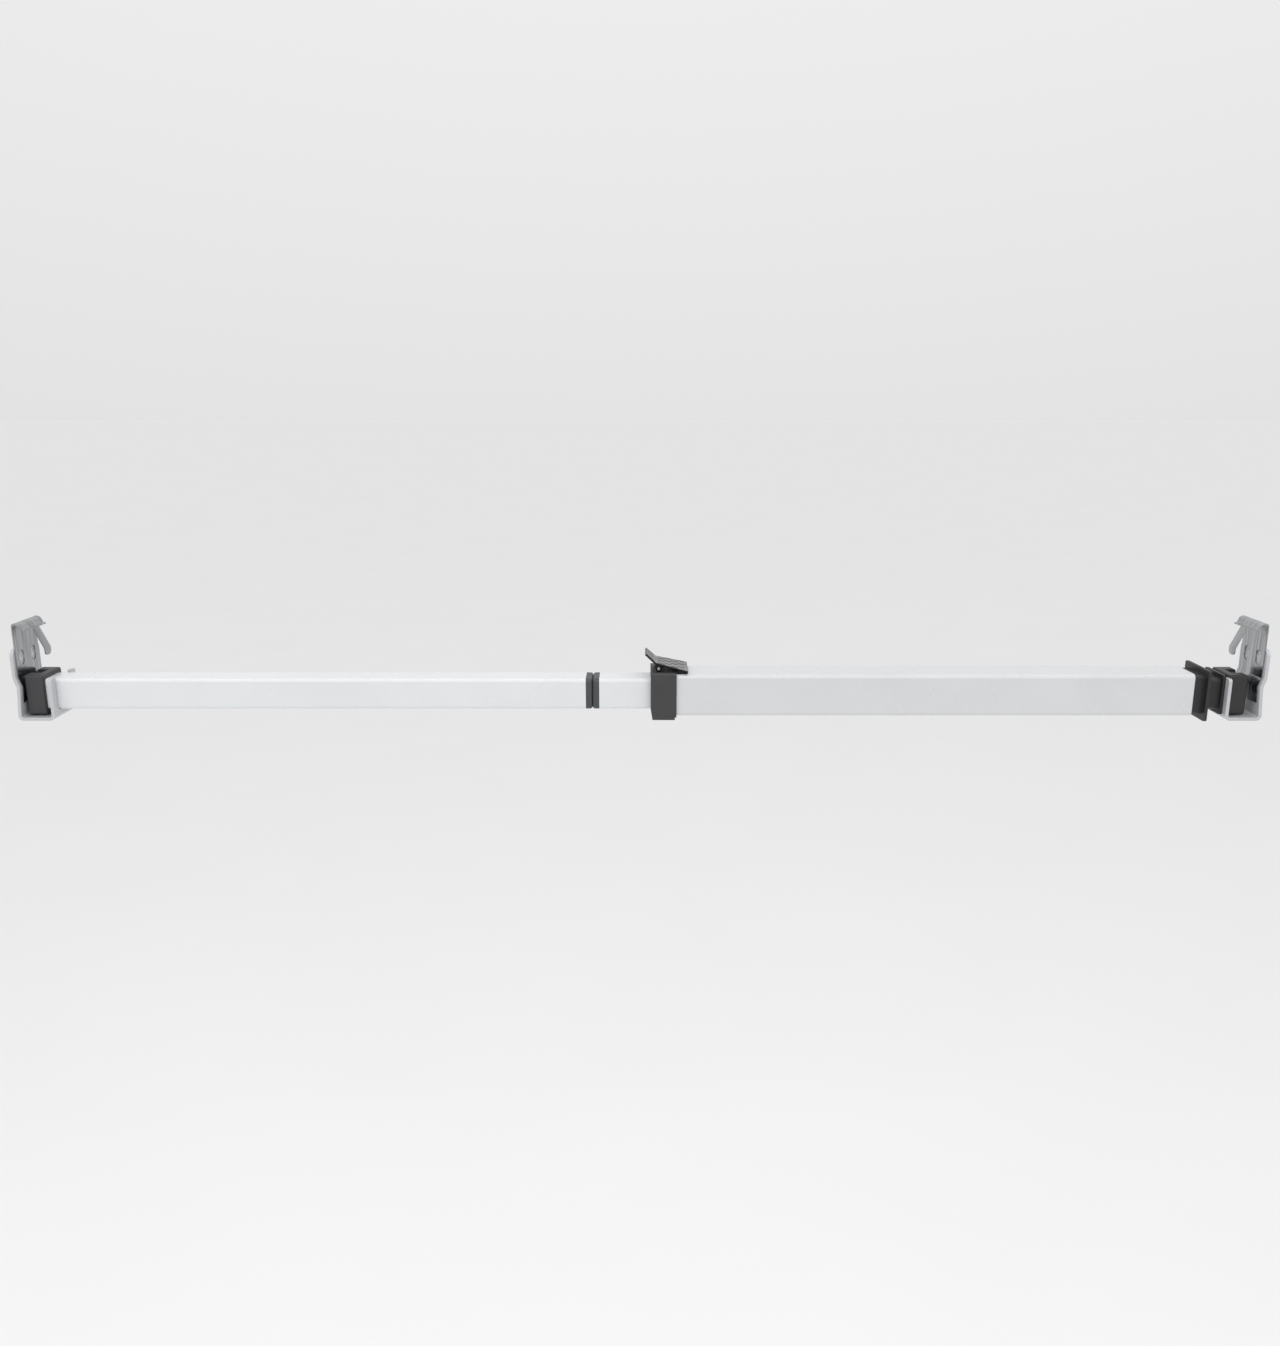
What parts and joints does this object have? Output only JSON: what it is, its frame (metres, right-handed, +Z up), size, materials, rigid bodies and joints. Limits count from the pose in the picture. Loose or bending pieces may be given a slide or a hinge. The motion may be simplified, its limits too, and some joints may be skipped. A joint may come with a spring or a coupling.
{
  "type": "window security bar",
  "caption": "Telescoping window security bar that drops into two hooked jamb brackets with anti-lift spring clips and locks its length with a cam lever.",
  "frame": {"origin": "middle of the left bracket's two wall screw holes, on the face against the jamb", "axes": "+X along the bar from the left jamb to the right, +Y from the room towards the glass, +Z up"},
  "size_m": [0.87, 0.0361, 0.0693],
  "materials": {
    "painted_steel": "gloss powder coat",
    "spring_steel": "bright rolled",
    "black_moulding": "fine moulded grain",
    "grey_moulding": "fine moulded grain",
    "lever_metal": "dark ribbed casting",
    "zinc_screw": "zinc plate",
    "nylon": "natural nylon",
    "rubber": "matt"
  },
  "bodies": {
    "left_mount": {"left_bracket": "painted_steel", "left_clip_plate": "spring_steel"},
    "left_latch": {"left_latch_spring": "spring_steel"},
    "inner_bar": {"left_end_block": "black_moulding", "left_block_screw": "zinc_screw", "extension_tube": "painted_steel", "extension_ring": "black_moulding", "ring_rivet": "zinc_screw", "joint_spigot": "black_moulding", "spigot_screw": "zinc_screw", "inner_ring": "black_moulding", "inner_tube": "painted_steel", "inner_glide": "nylon", "glide_screw": "zinc_screw", "snap_spring": "spring_steel"},
    "button": {"snap_button": "zinc_screw"},
    "outer_bar": {"outer_tube": "painted_steel", "collar": "grey_moulding", "collar_liner": "nylon", "collar_screws": "zinc_screw", "lever_pin": "spring_steel", "right_end_cap": "black_moulding", "right_cap_screw": "zinc_screw"},
    "lever": {"cam_lever": "lever_metal", "lever_spring": "spring_steel"},
    "brake": {"brake_shoe": "nylon", "brake_pad": "rubber"},
    "right_mount": {"right_bracket": "painted_steel", "right_clip_plate": "spring_steel"},
    "right_latch": {"right_latch_spring": "spring_steel"}
  },
  "joints": [
    {"name": "bar_lift", "type": "slide", "parent": "left_mount", "child": "inner_bar", "axis": [0, 0, 1], "range_m": [0, 0.0235]},
    {"name": "telescope", "type": "slide", "parent": "inner_bar", "child": "outer_bar", "axis": [1, 0, 0], "range_m": [-0.034, 0.23]},
    {"name": "right_release", "type": "slide", "parent": "outer_bar", "child": "right_mount", "axis": [0, 0, -1], "range_m": [0, 0.0235]},
    {"name": "left_latch_swing", "type": "hinge", "parent": "left_mount", "child": "left_latch", "pos_m": [0.0026, 0, 0.0223], "axis": [0, 1, 0], "range_deg": [0, 30], "stiffness_Nm_per_rad": 0.05},
    {"name": "right_latch_swing", "type": "hinge", "parent": "right_mount", "child": "right_latch", "pos_m": [0.8674, 0, 0.0223], "axis": [0, -1, 0], "range_deg": [0, 30], "stiffness_Nm_per_rad": 0.05},
    {"name": "lever_press", "type": "hinge", "parent": "outer_bar", "child": "lever", "pos_m": [0.448, 0, -0.0074], "axis": [0, -1, 0], "range_deg": [0, 25], "stiffness_Nm_per_rad": 0.02, "springref_deg": -20.05},
    {"name": "brake_release", "type": "slide", "parent": "outer_bar", "child": "brake", "axis": [0, 0, 1], "range_m": [0, 0.0005]},
    {"name": "button_press", "type": "slide", "parent": "inner_bar", "child": "button", "axis": [0, -1, 0], "range_m": [0, 0.0043], "stiffness_N_per_m": 300, "springref_m": -0.003, "deforming": ["snap_spring"]}
  ],
  "couplings": [
    {"joint": "right_release", "follows": "bar_lift", "ratio": 1},
    {"joint": "left_latch_swing", "follows": "bar_lift", "rad_per_m": 22.2},
    {"joint": "right_latch_swing", "follows": "bar_lift", "rad_per_m": 22.2},
    {"joint": "brake_release", "follows": "lever_press", "m_per_rad": 0.001}
  ]
}
